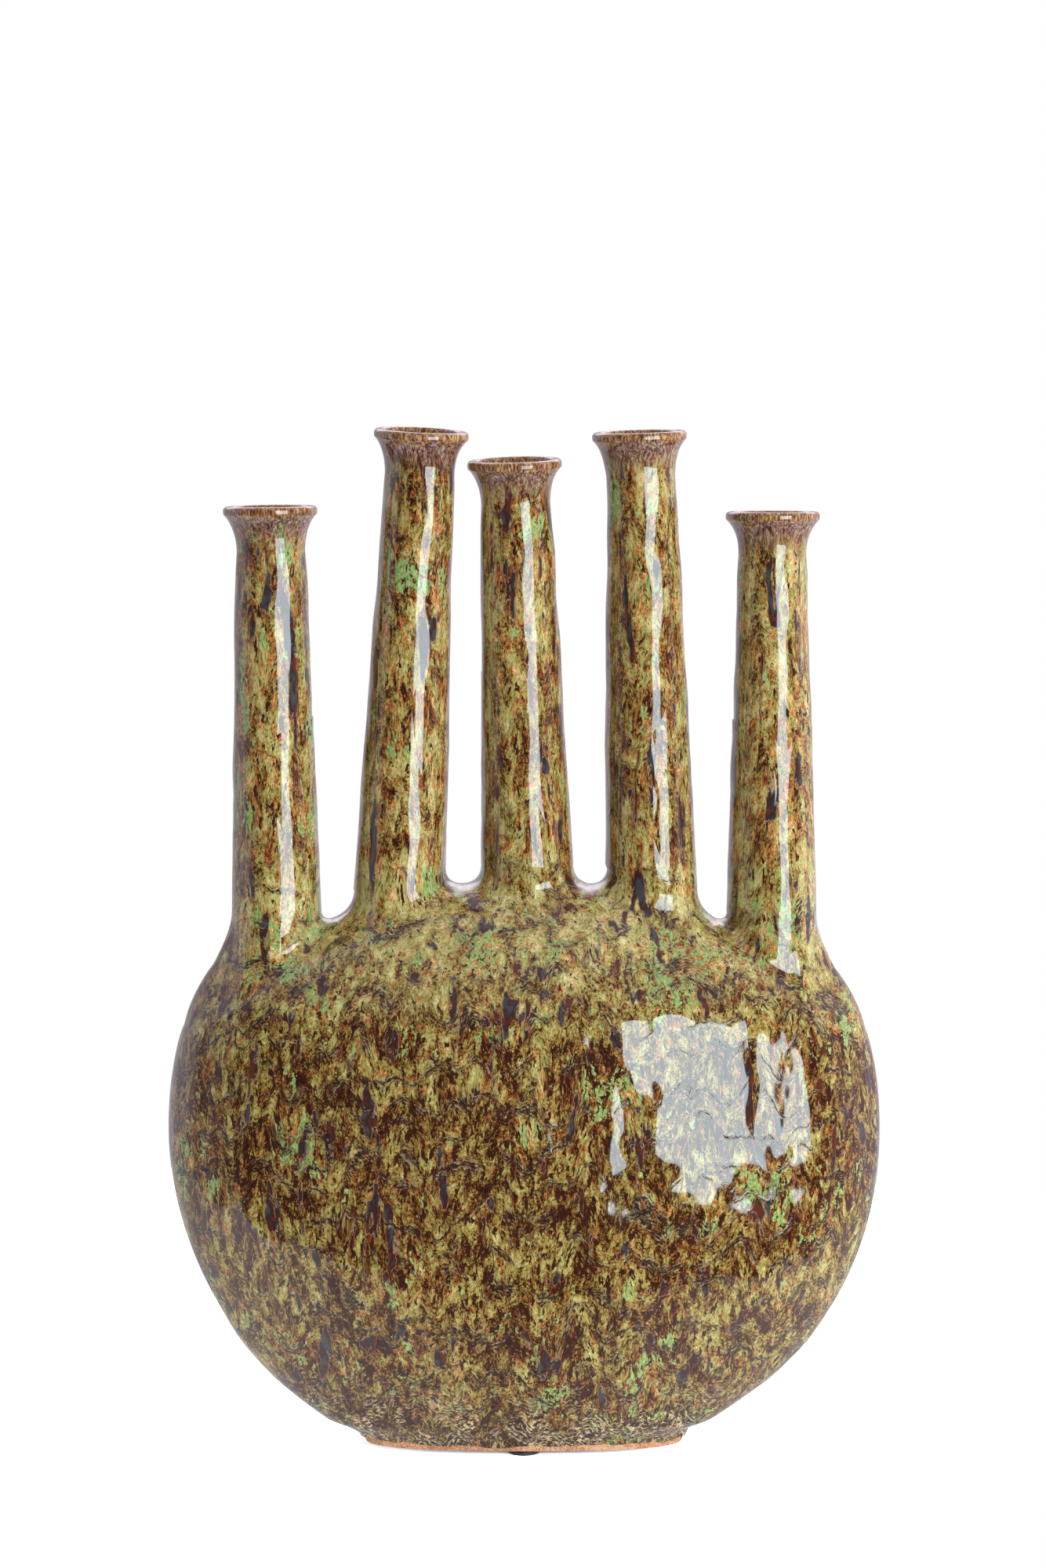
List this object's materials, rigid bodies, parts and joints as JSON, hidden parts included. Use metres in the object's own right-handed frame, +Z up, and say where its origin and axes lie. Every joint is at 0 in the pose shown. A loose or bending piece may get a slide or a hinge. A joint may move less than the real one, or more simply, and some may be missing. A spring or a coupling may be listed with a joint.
{
  "type": "multi-neck vase",
  "caption": "Flattened round vase on an oval foot, with a row of tall flared bud necks rising from its domed top.",
  "frame": {"origin": "centre of the vase's plan on the surface that it stands on", "axes": "+Z up, the long axis; +Y from the front face to the back face, the thin axis; +X along the row of necks, to the right as seen from the front"},
  "size_m": [0.3218, 0.117, 0.4614],
  "materials": {
    "glaze": "glossy runny reactive glaze, olive green with brown and dark streaks",
    "clay": "bare fired terracotta, matt",
    "pad": "matt dark rubber"
  },
  "bodies": {
    "root": {"front_shell": "glaze", "back_shell": "glaze", "neck_1": "glaze", "neck_2": "glaze", "neck_3": "glaze", "neck_4": "glaze", "neck_5": "glaze", "foot_slab": "clay", "pad_front": "pad", "pad_rear_left": "pad", "pad_rear_right": "pad"}
  },
  "joints": []
}
